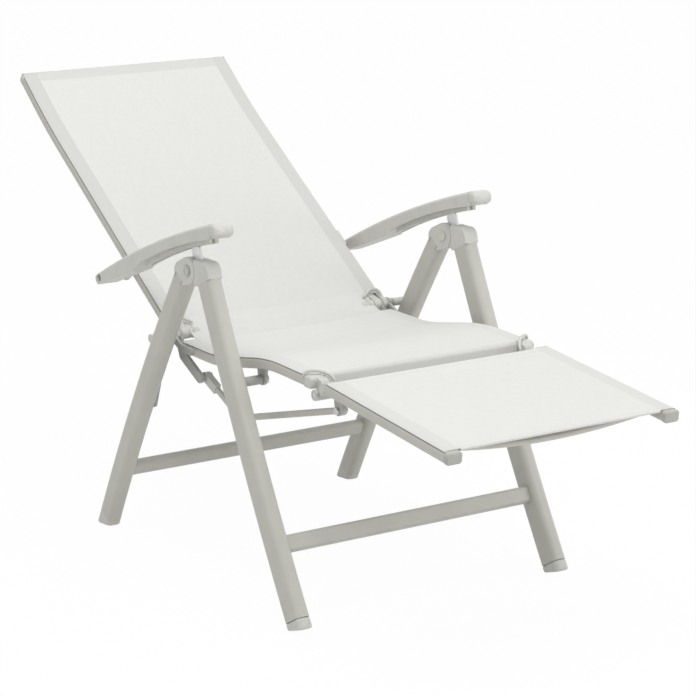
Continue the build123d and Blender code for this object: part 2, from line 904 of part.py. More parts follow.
def armrest_room():
    step = (arm_step_reach, arm_step_height)
    bottom_rear = moved(arm_pivot, heading(arm_round_bottom_angle), arm_rear_radius)
    end = moved(arm_pivot, heading(arm_round_end_angle), arm_rear_radius)
    lean = towards(seam_bottom, seam_top)
    above_front = moved(seam_top, lean, overrun)
    above_rear = moved(top_rear, (0.0, 1.0), overrun)
    above = moved(arm_crest, (0.0, 1.0), overrun)
    return make_face(
        Polyline(seam_bottom, above_front)
        + ThreePointArc(above_front, above, above_rear)
        + Line(above_rear, top_rear)
        + ThreePointArc(top_rear, end, bottom_rear)
        + Polyline(bottom_rear, step, low_rear)
        + ThreePointArc(low_rear, low_mid, seam_bottom)
    )


def armrest():
    path = arm_top_path()
    section = Pos(0, overrun / 2) * RectangleRounded(armrest_width, overrun, arm_edge)
    bar = sweep(section_plane(path @ 0, path % 0) * section, path)
    bar = bar & slab(armrest_room(), arm_inside - overrun, arm_outside + overrun)
    bore = rod_along_x(arm_pivot, pin_radius + running_clearance, arm_inside - overrun, arm_outside)
    recess = rod_along_x(arm_pivot, link_radius, arm_outside - ear_radius, arm_outside + overrun)
    return bar - bore - recess


def armrest_cap():
    tip_top = (seam_top[0] - arm_cap_length, seam_top[1] - arm_cap_drop)
    tip_low = (tip_top[0], tip_top[1] - arm_cap_thickness)
    cap = slab(polygon(seam_top, seam_bottom, tip_low, tip_top), arm_inside, arm_outside)
    length = arm_cap_length - arm_edge
    oval = Plane.XY * Pos(arm_middle, tip_top[0] + length) * Ellipse(armrest_width / 2, length)
    behind = Pos(arm_middle, tip_top[0] + length + overrun / 2)
    square = Plane.XY * behind * Rectangle(armrest_width, overrun)
    return cap & extrude(oval + square, amount=head_pivot_height + 2 * arm_pivot_height)


def rack():
    top = ThreePointArc(low_rear, low_mid, seam_bottom)
    centre = top.arc_center
    ring = Pos(centre.X, centre.Y) * (Circle(top.radius) - Circle(top.radius - rack_depth))
    window = polygon(
        (rack_rear_reach, arm_step_height - overrun),
        (rack_rear_reach, arm_seam_top_height),
        (-rack_front_reach, arm_seam_top_height),
        (-rack_front_reach, arm_step_height - overrun),
    )
    half_slot = rack_slot_width / 2
    half = rack_width / 2
    inner = slab(ring & window, leg_middle - half, leg_middle - half_slot)
    outer = slab(ring & window, leg_middle + half_slot, leg_middle + half)
    return Compound(inner.solids() + outer.solids())


def arm_pin():
    head_start = rail_outside - side_clearance - pin_radius
    lug_outside = rail_outside + arm_lug_thickness
    button_start = arm_outside - ear_radius
    shank = rod_along_x(arm_pivot, pin_radius, head_start, button_start + pin_radius)
    head = rod_along_x(arm_pivot, arm_pin_head_radius, head_start, rail_outside - side_clearance)
    collar = rod_along_x(
        arm_pivot, ear_radius - leg_wall, lug_outside + side_clearance, arm_inside - side_clearance
    )
    button = rod_along_x(
        arm_pivot, link_radius - 2 * side_clearance, button_start + side_clearance, button_start + pin_radius
    )
    return shank + head + collar + button


add_pair("armrest", armrest())
add("armrest_caps", pair(armrest_cap()))
add_pair("rack", rack())
add("arm_pins", pair(arm_pin()))


# Footrest: two rails, a bowed cross tube, the sling, caps, hinge ears and rod lugs

foot_start = (-foot_rail_start, foot_rail_start_height)
foot_end = (-foot_rail_end, foot_rail_end_height)
foot_direction = towards(foot_start, foot_end)
foot_side = left_of(foot_direction)


def on_footrest(place, lift=0.0):
    return moved(moved(foot_start, foot_direction, place), foot_side, -lift)


foot_length = hypot(foot_end[0] - foot_start[0], foot_end[1] - foot_start[1])


def seat_front_hinge():
    half = rail_height / 2
    top_rear = (-seat_front_reach, seat_front_height + half)
    low_rear = (-seat_front_reach, seat_front_height - half)
    nose = (foot_pivot[0] + foot_ear_radius * hinge_nose_share, seat_front_height + half * hinge_rise_share)
    cheek = moved(foot_pivot, (-1.0, 0.0), foot_ear_radius * hinge_cheek_share)
    face = polygon(top_rear, nose, cheek, foot_pivot, low_rear)
    face = face + disc(foot_pivot, foot_ear_radius) - disc(foot_pivot, pin_radius + running_clearance)
    return slab(face, rail_inside, foot_ear_split - side_clearance) - seat_rail_blank()


def footrest_ear():
    web = polygon(
        moved(foot_start, foot_side, -rail_height / 2 + cap_lip),
        moved(foot_start, foot_side, rail_height / 2 - cap_lip),
        moved(foot_pivot, (0.0, -1.0), foot_ear_radius),
        moved(foot_pivot, (0.0, 1.0), foot_ear_radius),
    )
    face = web + disc(foot_pivot, foot_ear_radius) - disc(foot_pivot, pin_radius + running_clearance)
    return slab(face, foot_ear_split, rail_outside)


def foot_pin():
    start = rail_inside - foot_cap_height
    outer_end = rail_outside + foot_cap_height
    shank = rod_along_x(foot_pivot, pin_radius, start, outer_end)
    inner = rod_along_x(foot_pivot, link_radius, start, rail_inside - side_clearance)
    outer = rod_along_x(foot_pivot, foot_ear_radius, rail_outside + side_clearance, outer_end)
    return shank + inner + outer


def rod_lug():
    place = (foot_start[0] - rod_front[0]) / -foot_direction[0]
    wide = rod_eye_radius * rod_lug_share
    web = polygon(
        on_footrest(place - wide, -rail_height / 2),
        on_footrest(place + wide, -rail_height / 2),
        (rod_front[0] - rod_eye_radius, rod_front_height),
        (rod_front[0] + rod_eye_radius, rod_front_height),
    )
    face = web + disc(rod_front, rod_eye_radius) - disc(rod_front, rod_pin_radius + running_clearance)
    start = rod_centre + rod_width / 2 + side_clearance
    return slab(face, start, start + rod_lug_thickness)


def foot_sling():
    lift = rail_height / 2 + sling_thickness / 2
    start = in_space(on_footrest(foot_sling_setback / 2, lift), 0.0)
    end = in_space(on_footrest(foot_length - foot_sling_setback / 2, lift), 0.0)
    direction = (end - start).normalized()
    face = section_plane(start, direction) * Rectangle(2 * (rail_outside - sling_margin), sling_thickness)
    return extrude(face, amount=(end - start).length, dir=direction)


add("seat_front_hinges", pair(seat_front_hinge()))
add("footrest_ears", pair(footrest_ear()))
add("footrest_pins", pair(foot_pin()))
foot_rail = straight_tube(
    foot_start, foot_end, rail_width, rail_height, rail_corner, rail_wall, rail_middle
)
add_pair("footrest_rail", foot_rail)
add("footrest_caps", pair(end_cap(foot_end, foot_direction, rail_middle)))
foot_tube_place = on_footrest(foot_length - foot_tube_setback, foot_tube_rise)
foot_tube = cross_tube(foot_tube_place, foot_direction, -foot_tube_bow, foot_tube_thickness)
add("footrest_front_tube", foot_tube)
add("footrest_rod_lugs", pair(rod_lug()))
add("footrest_sling", foot_sling())


# Push rods: a bent flat tube from each crank to the footrest, with an eye at both ends

def push_rod():
    bend = (-rod_bend_reach, rod_bend_height)
    first = moved(crank_end, towards(crank_end, bend), rod_end_length)
    last = moved(rod_front, towards(rod_front, bend), rod_eye_radius - rod_wall)
    path = FilletPolyline(
        *[in_space(point, rod_centre) for point in (first, bend, last)], radius=rod_bend_radius
    )
    face = section_plane(path @ 0, path % 0) * RectangleRounded(rod_width, rod_height, rod_corner)
    half = rod_width / 2
    eye = rod_along_x(rod_front, rod_eye_radius, rod_centre - half, rod_centre + half)
    whole = sweep(face, path) + eye
    bore_radius = rod_pin_radius + running_clearance
    return whole - rod_along_x(rod_front, bore_radius, rod_centre - overrun, rod_centre + overrun)


def rod_end():
    bend = (-rod_bend_reach, rod_bend_height)
    along = towards(crank_end, bend)
    across = left_of(along)
    tip = moved(crank_end, along, rod_end_length)
    face = disc(crank_end, rod_eye_radius) + polygon(
        moved(crank_end, across, rod_eye_radius),
        moved(tip, across, rod_eye_radius),
        moved(tip, across, -rod_eye_radius),
        moved(crank_end, across, -rod_eye_radius),
    )
    half = rod_end_width / 2
    return slab(face - disc(crank_end, rod_pin_radius), rod_centre - half, rod_centre + half)


def rod_pin():
    half = rod_width / 2
    lug_end = rod_centre + half + side_clearance + rod_lug_thickness
    start = rod_centre - half - rod_pin_radius
    head = rod_pin_radius * rod_head_share
    shank = rod_along_x(rod_front, rod_pin_radius, start, lug_end + rod_pin_radius)
    inner = rod_along_x(rod_front, head, start, rod_centre - half - side_clearance)
    outer = rod_along_x(rod_front, head, lug_end + side_clearance, lug_end + rod_pin_radius)
    return shank + inner + outer


def crank_bolt():
    half = rod_end_width / 2
    head = rod_pin_radius + rod_wall * 2
    start = rod_centre - half - rod_pin_radius
    shank = rod_along_x(crank_end, rod_pin_radius, start, crank_inside - side_clearance)
    inner = rod_along_x(crank_end, head, start, rod_centre - half)
    outer = rod_along_x(crank_end, head, rod_centre + half, crank_inside - side_clearance)
    return shank + inner + outer


add_pair("push_rod", push_rod())
add("rod_pins", pair(rod_pin()))
add("rod_ends", pair(rod_end()))
add("rod_bolts", pair(crank_bolt()))


# The origin: on the floor, under the middle of the whole chair

every_solid = [solid for part in parts.values() for solid in part.solids()]
box = Compound(every_solid).bounding_box()
middle = (box.min.Y + box.max.Y) / 2
print("size", [round(v, 2) for v in (box.size.X, box.size.Y, box.size.Z)], "middle", round(middle, 3))

os.makedirs("parts", exist_ok=True)
for name, part in parts.items():
    placed = Compound([Pos(0, -middle, 0) * solid for solid in part.solids()])
    placed.label = name
    export_step(placed, "parts/" + name + ".step")
print(len(parts), "nodes, lowest point", round(box.min.Z, 3))
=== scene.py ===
# %% [markdown]
# # A reclining garden armchair, dressed in Blender
# The imported model is the skeleton of this scene: every rail, leg, hinge and pin comes from it
# and stays where it is. This script gives those parts their finishes and adds what drawing
# tools for solids do badly: the stretched woven slings with their hems, the dark line of painted
# shade where each sling disappears into its rail, the rounded ends and the fittings of the hinges.

# %% Start: load the frame
import json
from math import cos, pi, radians, sin

import bmesh
import bpy
from mathutils import Matrix, Vector


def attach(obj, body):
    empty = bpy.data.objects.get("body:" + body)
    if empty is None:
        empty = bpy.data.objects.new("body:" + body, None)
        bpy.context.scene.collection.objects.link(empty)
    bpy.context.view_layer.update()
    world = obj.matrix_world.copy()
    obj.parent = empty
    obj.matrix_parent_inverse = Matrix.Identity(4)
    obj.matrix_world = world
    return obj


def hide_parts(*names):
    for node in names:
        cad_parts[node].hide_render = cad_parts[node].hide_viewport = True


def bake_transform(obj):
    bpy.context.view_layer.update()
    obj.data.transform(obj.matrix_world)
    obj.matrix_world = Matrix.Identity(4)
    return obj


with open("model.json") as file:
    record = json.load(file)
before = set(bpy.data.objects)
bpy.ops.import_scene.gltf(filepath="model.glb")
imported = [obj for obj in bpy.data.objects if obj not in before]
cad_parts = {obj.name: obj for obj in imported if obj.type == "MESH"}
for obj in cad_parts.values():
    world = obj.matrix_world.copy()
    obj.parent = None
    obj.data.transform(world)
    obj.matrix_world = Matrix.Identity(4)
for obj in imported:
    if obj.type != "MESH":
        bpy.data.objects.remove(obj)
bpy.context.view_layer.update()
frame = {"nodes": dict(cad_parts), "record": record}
nodes = frame["nodes"]
scene = bpy.context.scene

# %% [markdown]
# ## Camera
# The photograph was taken with a long lens from the front left, a little above the armrests.
# A camera is an object with a turned frame: its own Z points back towards the photographer,
# so the three directions below are written as the columns of a rotation.

# %% The photograph's camera
camera_place = Vector((-2.4382, -3.8854, 1.5730))
camera_right = Vector((0.8404, -0.5418, 0.0))
camera_up = Vector((0.1351, 0.2096, 0.9683))
camera_back = camera_right.cross(camera_up)
camera_data = bpy.data.cameras.new("photo_camera")
camera_data.lens = 129.8
camera_data.sensor_width = 36.0
camera = bpy.data.objects.new("photo_camera", camera_data)
turn = Matrix((camera_right, camera_up, camera_back)).transposed().to_4x4()
camera.matrix_world = Matrix.Translation(camera_place) @ turn
scene.collection.objects.link(camera)
scene.camera = camera
print("camera", tuple(round(value, 3) for value in camera.location))

# %% [markdown]
# ## Material helpers
# A finish is a small graph of shader nodes. Each recipe below starts from a Principled shader
# with plain numbers on its own sockets, and adds fine colour variation and bump from noise on
# Object coordinates, so the pattern stays with the piece when it moves.


# %% Material helpers
patch_share = 40  # the wide patches of tone are this many times the size of the fine grain


def new_finish(name, roughness, metallic=0.0, specular=0.5):
    material = bpy.data.materials.new(name)
    material.use_nodes = True
    tree = material.node_tree
    shader = tree.nodes["Principled BSDF"]
    shader.inputs["Roughness"].default_value = roughness
    shader.inputs["Metallic"].default_value = metallic
    shader.inputs["Specular IOR Level"].default_value = specular
    return material, tree, shader


def add_node(tree, kind, **settings):
    node = tree.nodes.new(kind)
    for name, value in settings.items():
        setattr(node, name, value)
    return node


def object_noise(tree, scale, detail=3.0, stretch=(1.0, 1.0, 1.0)):
    where = add_node(tree, "ShaderNodeTexCoord")
    mapping = add_node(tree, "ShaderNodeMapping")
    mapping.inputs["Scale"].default_value = stretch
    noise = add_node(tree, "ShaderNodeTexNoise")
    noise.inputs["Scale"].default_value = scale
    noise.inputs["Detail"].default_value = detail
    tree.links.new(where.outputs["Object"], mapping.inputs["Vector"])
    tree.links.new(mapping.outputs["Vector"], noise.inputs["Vector"])
    return noise.outputs["Fac"]


def tone_between(tree, factor, dark, light, low=0.3, high=0.7):
    ramp = add_node(tree, "ShaderNodeValToRGB")
    ramp.color_ramp.elements[0].position = low
    ramp.color_ramp.elements[0].color = (*dark, 1.0)
    ramp.color_ramp.elements[1].position = high
    ramp.color_ramp.elements[1].color = (*light, 1.0)
    tree.links.new(factor, ramp.inputs["Fac"])
    return ramp.outputs["Color"]


def bump_from(tree, shader, height, distance, strength=1.0, soft_edge=0.0):
    bump = add_node(tree, "ShaderNodeBump")
    if soft_edge:
        rounding = add_node(tree, "ShaderNodeBevel", samples=4)
        rounding.inputs["Radius"].default_value = soft_edge
        tree.links.new(rounding.outputs["Normal"], bump.inputs["Normal"])
    bump.inputs["Distance"].default_value = distance
    bump.inputs["Strength"].default_value = strength
    tree.links.new(height, bump.inputs["Height"])
    tree.links.new(bump.outputs["Normal"], shader.inputs["Normal"])


def speckled_finish(
    name, tone, spread, grain, grain_depth, roughness,
    metallic=0.0, stretch=(1.0, 1.0, 1.0), soft_edge=0.0,
):
    material, tree, shader = new_finish(name, roughness, metallic)
    dark = tuple(value * (1 - spread) for value in tone)
    light = tuple(value * (1 + spread) for value in tone)
    wide = object_noise(tree, grain / patch_share, 2.0)
    tree.links.new(tone_between(tree, wide, dark, light), shader.inputs["Base Color"])
    bump_from(tree, shader, object_noise(tree, grain, 3.0, stretch), grain_depth, 1.0, soft_edge)
    return material


# %% [markdown]
# ## Frame, plastic and steel
# The tubes are powder coated: a warm light grey paint with a very fine orange-peel surface.
# The fittings are moulded plastic in nearly the same grey, more matt. The strut is zinc
# plated, the hinge plates are a darker grey, and the pins are plain steel. The footrest's caps
# are given the same plastic in a darker grey. Moulded edges are never quite sharp: a Bevel node
# softens how they catch the light, without a change to the mesh.

# %% Finishes of the hard parts
plastic_grain, plastic_depth = 1400.0, 0.00005
moulded_edge, foot_edge = 0.0011, 0.001
drawn_lengthwise = (1.0, 1.0, 0.08)
frame_coat = speckled_finish("frame_coat", (0.500, 0.500, 0.453), 0.025, 900.0, 0.00006, 0.42)
fitting_plastic = speckled_finish(
    "fitting_plastic", (0.580, 0.580, 0.540), 0.03, plastic_grain, plastic_depth, 0.5, soft_edge=moulded_edge
)
cap_plastic = speckled_finish(
    "cap_plastic", (0.430, 0.430, 0.395), 0.03, plastic_grain, plastic_depth, 0.5, soft_edge=moulded_edge
)
foot_plastic = speckled_finish(
    "foot_plastic", (0.570, 0.570, 0.535), 0.03, plastic_grain, plastic_depth, 0.55, soft_edge=foot_edge
)
zinc_plate = speckled_finish(
    "zinc_plate", (0.92, 0.93, 0.94), 0.03, 700.0, 0.00004, 0.38, 0.10, drawn_lengthwise
)
plain_steel = speckled_finish("plain_steel", (0.55, 0.55, 0.54), 0.05, 900.0, 0.00004, 0.35, 0.85)
# The hinge plates' own darker grey. The same finish also paints shade on the fine rings of the caps.
plate_coat_and_ring_shade = speckled_finish("plate_coat_and_ring_shade", (0.40, 0.40, 0.38), 0.05, 900.0, 0.00005, 0.45)
# Painted shade: the dark strip that stands for the shade inside the rails' slots.
painted_groove_shade = speckled_finish("painted_groove_shade", (0.20, 0.20, 0.19), 0.1, 1200.0, 0.00004, 0.7)

finish_of_slot = {
    "frame_coat": frame_coat,
    "plastic": fitting_plastic,
    "foot_plastic": foot_plastic,
    "zinc": zinc_plate,
    "steel": plain_steel,
    "dark_steel": plate_coat_and_ring_shade,
}
slot_of_node = {part["node"]: part["material_slot"] for part in frame["record"]["subparts"]}
for name, node in nodes.items():
    finish = finish_of_slot.get(slot_of_node[name], fitting_plastic)
    if name == "footrest_caps":
        finish = cap_plastic
    node.data.materials.clear()
    node.data.materials.append(finish)
print("finished nodes", len(nodes))

# %% [markdown]
# ## The sling's cloth
# The slings are woven from coated yarn. Close up the cloth is a plain weave with threads a
# little over a millimetre apart; from a few metres it is an even off-white. Two wave patterns
# at right angles, read from the sheet's own UV map in metres, make the threads, and the same
# map carries the hem bands and their stitches. The bands over the rails are partly the double
# layer of the hem and partly painted shade of the rail behind the cloth. Along the back's cloth
# the colour is also painted darker towards the bottom, as shade.


# %% The woven cloth
def band_mask(tree, coordinate, centre, half):
    away = add_node(tree, "ShaderNodeMath", operation="SUBTRACT")
    away.inputs[1].default_value = centre
    size = add_node(tree, "ShaderNodeMath", operation="ABSOLUTE")
    inside = add_node(tree, "ShaderNodeMath", operation="LESS_THAN")
    inside.inputs[1].default_value = half
    tree.links.new(coordinate, away.inputs[0])
    tree.links.new(away.outputs[0], size.inputs[0])
    tree.links.new(size.outputs[0], inside.inputs[0])
    return inside.outputs[0]


def combine(tree, operation, first, second):
    node = add_node(tree, "ShaderNodeMath", operation=operation)
    for socket, value in zip(node.inputs, (first, second)):
        if isinstance(value, float):
            socket.default_value = value
        else:
            tree.links.new(value, socket)
    return node.outputs[0]


def mixed_colour(tree, factor, first, second):
    node = add_node(tree, "ShaderNodeMix", data_type="RGBA")
    tree.links.new(factor, node.inputs["Factor"])
    for socket, value in ((node.inputs[6], first), (node.inputs[7], second)):
        if isinstance(value, tuple):
            socket.default_value = (*value, 1.0)
        else:
            tree.links.new(value, socket)
    return node.outputs[2]


def wave(tree, coordinate, turns):
    return combine(tree, "SINE", combine(tree, "MULTIPLY", coordinate, turns), 0.0)


def dashes_along(tree, coordinate):
    return combine(tree, "GREATER_THAN", wave(tree, coordinate, stitch_turns), stitch_gap)


thread_pitch = 0.0013
thread_depth = 0.00012
stitch_turns, stitch_gap = 1600.0, -0.2
hem_stitch_half, side_stitch_half = 0.0007, 0.0005
side_stitch_share = 0.25
hem_share = 0.5
painted_shade_length = 0.75
cloth_tone = (0.705, 0.702, 0.682)
cloth_shade = (0.655, 0.652, 0.634)
# Tone of the hems. The bands over the rails take it too, and there it is partly painted shade of the rail
# behind the cloth.
hem_and_shade_tone = (0.560, 0.556, 0.536)
stitch_tone = (0.560, 0.555, 0.530)
rail_band = 0.030


def woven_cloth(name, half_width, stitch_rows=(), hem_rows=(), edge_hem_and_shade_share=0.4, shade=(1.0, 1.0)):
    material, tree, shader = new_finish(name, 0.75, 0.0, 0.25)
    shader.inputs["Sheen Weight"].default_value = 0.12
    shader.inputs["Sheen Roughness"].default_value = 0.5
    where = add_node(tree, "ShaderNodeUVMap", uv_map="cloth")
    split = add_node(tree, "ShaderNodeSeparateXYZ")
    tree.links.new(where.outputs["UV"], split.inputs[0])
    across, along = split.outputs[0], split.outputs[1]
    turns = 2 * pi / thread_pitch
    weave = combine(tree, "MULTIPLY", wave(tree, across, turns), wave(tree, along, turns))
    fuzz = object_noise(tree, 90.0, 4.0)
    # The node adds its own third value, 0.5, so the weave's -1 to 1 becomes 0.25 to 0.75.
    level = combine(tree, "MULTIPLY_ADD", weave, 0.25)
    tone = tone_between(tree, level, cloth_shade, cloth_tone, -0.2, 0.6)
    soft = tone_between(tree, fuzz, (0.97, 0.97, 0.97), (1.0, 1.0, 1.0))
    tinted = add_node(tree, "ShaderNodeMix", data_type="RGBA", blend_type="MULTIPLY")
    tinted.inputs["Factor"].default_value = 1.0
    tree.links.new(tone, tinted.inputs[6])
    tree.links.new(soft, tinted.inputs[7])
    # Painted shade: over the first 0.75 m along the sheet the colour is scaled from the first to the second
    # value of shade, so the back's cloth is darker towards its bottom, where the seat and the armrests shade
    # it.
    shade_fall = add_node(tree, "ShaderNodeMapRange")
    shade_fall.inputs["From Max"].default_value = painted_shade_length
    shade_fall.inputs["To Min"].default_value, shade_fall.inputs["To Max"].default_value = shade
    tree.links.new(along, shade_fall.inputs["Value"])
    shaded_tone = add_node(tree, "ShaderNodeVectorMath", operation="SCALE")
    tree.links.new(tinted.outputs[2], shaded_tone.inputs[0])
    tree.links.new(shade_fall.outputs["Result"], shaded_tone.inputs["Scale"])
    # The band over each rail: partly the double layer of the hem, partly painted shade of the rail behind
    # the translucent cloth.
    distance = combine(tree, "ABSOLUTE", across, 0.0)
    edge = combine(tree, "GREATER_THAN", distance, half_width - rail_band)
    hem_and_rail_shade = combine(tree, "MULTIPLY", edge, edge_hem_and_shade_share)
    for centre, half in hem_rows:
        hem = combine(tree, "MULTIPLY", band_mask(tree, along, centre, half), hem_share)
        hem_and_rail_shade = combine(tree, "MAXIMUM", hem_and_rail_shade, hem)
    colour = mixed_colour(tree, hem_and_rail_shade, shaded_tone.outputs[0], hem_and_shade_tone)
    dashes = dashes_along(tree, across)
    for centre in stitch_rows:
        row = combine(tree, "MULTIPLY", band_mask(tree, along, centre, hem_stitch_half), dashes)
        colour = mixed_colour(tree, row, colour, stitch_tone)
    side_line = band_mask(tree, distance, half_width - rail_band, side_stitch_half)
    seam = combine(tree, "MULTIPLY", side_line, dashes_along(tree, along))
    colour = mixed_colour(tree, combine(tree, "MULTIPLY", seam, side_stitch_share), colour, stitch_tone)
    tree.links.new(colour, shader.inputs["Base Color"])
    bump_from(tree, shader, weave, thread_depth, 0.5)
    return material


# %% [markdown]
# ## Lines that the slings follow
# In a side view a sling follows its rails: the back's rails bend a little near the top, the
# seat's dip and rise. A line here is a few corners joined with round bends, and a place on it
# is its distance from the start, so the same numbers lay out cloth, hems and grooves.

# %% Side lines of the rails
middle_shift = 0.026881
rail_inside = 0.209
rail_middle = 0.224
rail_outside = 0.239
rail_half_height = 0.010
cloth_thickness = 0.0014


def side_point(reach, height):
    return Vector((reach - middle_shift, height))


def rounded_line(corners, radius, steps=10):
    line = [corners[0]]
    for before, corner, after in zip(corners, corners[1:], corners[2:]):
        into = (corner - before).normalized()
        out = (after - corner).normalized()
        half_turn = into.angle(out) / 2
        setback = radius * sin(half_turn) / cos(half_turn)
        start, end = corner - into * setback, corner + out * setback
        for step in range(steps + 1):
            share = step / steps
            line.append(start.lerp(corner, share).lerp(corner.lerp(end, share), share))
    return line + [corners[-1]]


def place_on(line, distance, lift):
    for start, end in zip(line, line[1:]):
        length = (end - start).length
        if distance <= length or end is line[-1]:
            along = (end - start) / length
            upward = Vector((along.y, -along.x)) if along.x < 0 else Vector((-along.y, along.x))
            return start + along * distance + upward * lift
        distance -= length


def line_length(line):
    return sum((end - start).length for start, end in zip(line, line[1:]))


back_angle, back_top_angle = radians(32.6), radians(38.0)
back_heading = Vector((cos(back_angle), sin(back_angle)))
back_top_heading = Vector((cos(back_top_angle), sin(back_top_angle)))
back_drop = Vector((sin(back_angle), -cos(back_angle))) * 0.007
back_start = side_point(0.159, 0.422) + back_drop
back_bend = back_start + back_heading * 0.612
back_end = back_bend + back_top_heading * 0.138
back_line = rounded_line([back_start, back_bend, back_end], 1.5)
seat_corners = [
    side_point(0.130, 0.405),
    side_point(-0.002, 0.405),
    side_point(-0.180, 0.441),
    side_point(-0.322, 0.4385),
]
seat_line = rounded_line(seat_corners, 0.42)
foot_line = [side_point(-0.368, 0.4385), side_point(-0.730, 0.4065)]
print("line lengths", [round(line_length(line), 4) for line in (back_line, seat_line, foot_line)])

# %% [markdown]
# ## Slings
# Each sling is one sheet of cloth, stretched between two rails. It lies on the rails, dips a
# few millimetres between them, and turns down at its outer edges into the rails' grooves.
# A grid is made flat with an operator, and every vertex is then laid along the rail line.


# %% Lay a grid of cloth
def placed_piece(name, shape, finish):
    mesh = bpy.data.meshes.new(name)
    shape.to_mesh(mesh)
    shape.free()
    mesh.materials.append(finish)
    piece = bpy.data.objects.new(name, mesh)
    scene.collection.objects.link(piece)
    return piece


def smoothed(shape, weld=0.0):
    if weld:
        bmesh.ops.remove_doubles(shape, verts=shape.verts, dist=weld)
    bmesh.ops.recalc_face_normals(shape, faces=shape.faces)
    for face in shape.faces:
        face.smooth = True


def thickened(piece, modifier_name, thickness):
    solid = piece.modifiers.new(modifier_name, "SOLIDIFY")
    solid.thickness = thickness
    solid.offset = 0.0


def cloth_piece(name, columns, rows, lay, uv_of, finish, body):
    shape = bmesh.new()
    bmesh.ops.create_grid(shape, x_segments=columns, y_segments=rows, size=0.5)
    uv_layer = shape.loops.layers.uv.new("cloth")
    shares = {vert: (vert.co.x + 0.5, vert.co.y + 0.5) for vert in shape.verts}
    for face in shape.faces:
        for loop in face.loops:
            loop[uv_layer].uv = uv_of(*shares[loop.vert])
    for vert in shape.verts:
        vert.co = lay(*shares[vert])
    smoothed(shape)
    piece = placed_piece(name, shape, finish)
    thickened(piece, "cloth_thickness", cloth_thickness)
    rim = piece.modifiers.new("crisp_rim", "EDGE_SPLIT")
    rim.split_angle = radians(60)
    if body:
        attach(piece, body)
    print(name, "vertices", len(piece.data.vertices))
    return piece


cloth_rest = 0.0010
turned_edge, edge_steepness = 0.005, 60.0
dip_margin = 0.002


def edge_turn(x, half_width):
    over = max(0.0, abs(x) - (half_width - turned_edge))
    return -over * over * edge_steepness


def dip_between(x, depth):
    inner = rail_inside - dip_margin
    return -depth * max(0.0, 1 - (x / inner) ** 2) if abs(x) < inner else 0.0


def eased(share):
    share = min(1.0, max(0.0, share))
    return share * share * (3 - 2 * share)


def sling(name, line, start, end, sag, finish, body, held_start, rows=110):
    half_width = sling_half_width

    def lay(u, v):
        x = (2 * u - 1) * half_width
        distance = start + (end - start) * v
        slack = eased((1 - v) / held_share) * (eased(v / held_share) if held_start else 1.0)
        lift = rail_half_height + cloth_rest + edge_turn(x, half_width) + dip_between(x, sag) * slack
        place = place_on(line, distance, lift)
        return Vector((x, place.x, place.y))

    def uv_of(u, v):
        return ((2 * u - 1) * half_width, start + (end - start) * v)

    return cloth_piece(name, 96, rows, lay, uv_of, finish, body)


sling_half_width = 0.2365
held_share = 0.12
back_length, seat_length, foot_length = (line_length(line) for line in (back_line, seat_line, foot_line))
back_cloth = woven_cloth(
    "back_cloth", sling_half_width, hem_rows=((back_length, 0.026),), edge_hem_and_shade_share=0.75, shade=(0.94, 1.0)
)
seat_cloth = woven_cloth(
    "seat_cloth", sling_half_width, hem_rows=((seat_length + 0.030, 0.034),), edge_hem_and_shade_share=0.25
)
foot_cloth = woven_cloth(
    "footrest_cloth", sling_half_width, stitch_rows=(foot_length - 0.010, 0.020), edge_hem_and_shade_share=0.35
)

back_sling = sling(
    "back_sling_cloth", back_line, start=0.034, end=back_length - 0.0027, sag=0.005,
    finish=back_cloth, body="backrest", held_start=False,
)
seat_sling = sling(
    "seat_sling_cloth", seat_line, start=0.002, end=seat_length - 0.005, sag=0.005,
    finish=seat_cloth, body="seat", held_start=False,
)
foot_sling = sling(
    "footrest_sling_cloth", foot_line, start=0.008, end=foot_length - 0.0041, sag=0.003,
    finish=foot_cloth, body="footrest", held_start=True, rows=70,
)

# %% [markdown]
# ## Front sleeves
# The seat's and the footrest's front hems are sleeves around a bowed tube. The upper edge
# stays straight between the rails. The seat's sleeve hangs lower in the middle, where the tube
# does; the footrest's hem stays thin, and the bowed tube below it gives the shaded crescent.


# %% Sleeves of the hems
sleeve_start = 0.0012
sleeve_reach = rail_inside - 0.003


def sleeve(
    name, line, edge, edge_radius, tube_bottom, bow, tuck, finish, body, reach=sleeve_reach
):
    top = rail_half_height + cloth_rest

    def lay(u, v):
        x = (2 * u - 1) * reach
        bottom = tube_bottom - bow * max(0.0, 1 - (x / reach) ** 2)
        down = max(0.002, top - bottom - 2 * edge_radius)
        lengths = (sleeve_start, edge_radius * pi / 2, down, edge_radius * pi / 2, tuck)
        walked = v * sum(lengths)
        forward, lift = edge - edge_radius - sleeve_start, top
        if walked < lengths[0]:
            forward += walked
        elif walked < sum(lengths[:2]):
            angle = (walked - lengths[0]) / edge_radius
            forward = edge - edge_radius + edge_radius * sin(angle)
            lift = top - edge_radius * (1 - cos(angle))
        elif walked < sum(lengths[:3]):
            forward = edge
            lift = top - edge_radius - (walked - sum(lengths[:2]))
        elif walked < sum(lengths[:4]):
            angle = (walked - sum(lengths[:3])) / edge_radius
            forward = edge - edge_radius * (1 - cos(angle))
            lift = bottom + edge_radius - edge_radius * sin(angle)
        else:
            forward = edge - edge_radius - (walked - sum(lengths[:4]))
            lift = bottom
        place = place_on(line, forward, lift)
        return Vector((x, place.x, place.y))

    def uv_of(u, v):
        return ((2 * u - 1) * reach, edge + v * 0.05)

    return cloth_piece(name, 64, 48, lay, uv_of, finish, body)


